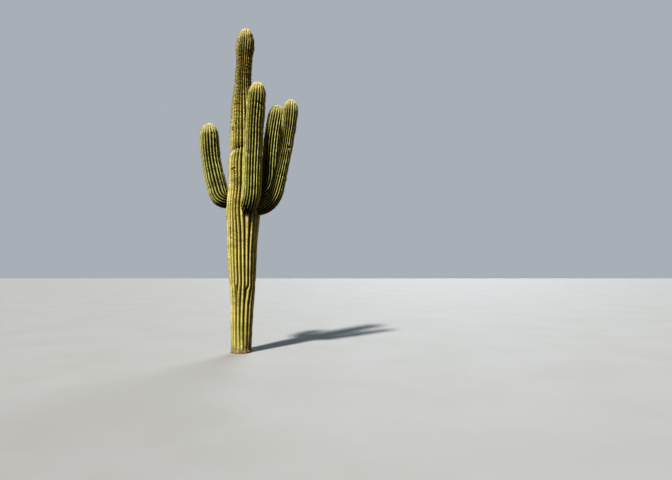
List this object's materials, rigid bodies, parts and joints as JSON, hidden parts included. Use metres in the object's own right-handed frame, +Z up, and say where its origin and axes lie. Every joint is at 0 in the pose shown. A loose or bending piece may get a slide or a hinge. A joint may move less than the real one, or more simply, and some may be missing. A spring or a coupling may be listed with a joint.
{
  "type": "saguaro cactus",
  "caption": "Tall ribbed columnar desert cactus with upturned arms that leave the trunk below half height and rise beside it.",
  "frame": {"origin": "middle of the flat cut under the trunk, at ground level", "axes": "+Z up the trunk, the way the plant grows; -Y towards the viewer of the picture; +X to that viewer's right"},
  "size_m": [1.9123, 1.5057, 6.36],
  "materials": {
    "trunk_skin": "ribbed waxy olive-green skin, corky and tan at the foot, with rows of tan spines on the rib crests",
    "arm_skin": "ribbed waxy olive-green skin with rows of pale tan spines on the rib crests"
  },
  "bodies": {
    "root": {"trunk": "trunk_skin", "left_arm_elbow": "arm_skin", "left_arm_upright": "arm_skin", "front_arm_elbow": "arm_skin", "front_arm_upright": "arm_skin", "right_front_arm_elbow": "arm_skin", "right_front_arm_upright": "arm_skin", "right_rear_arm_elbow": "arm_skin", "right_rear_arm_upright": "arm_skin"}
  },
  "joints": []
}
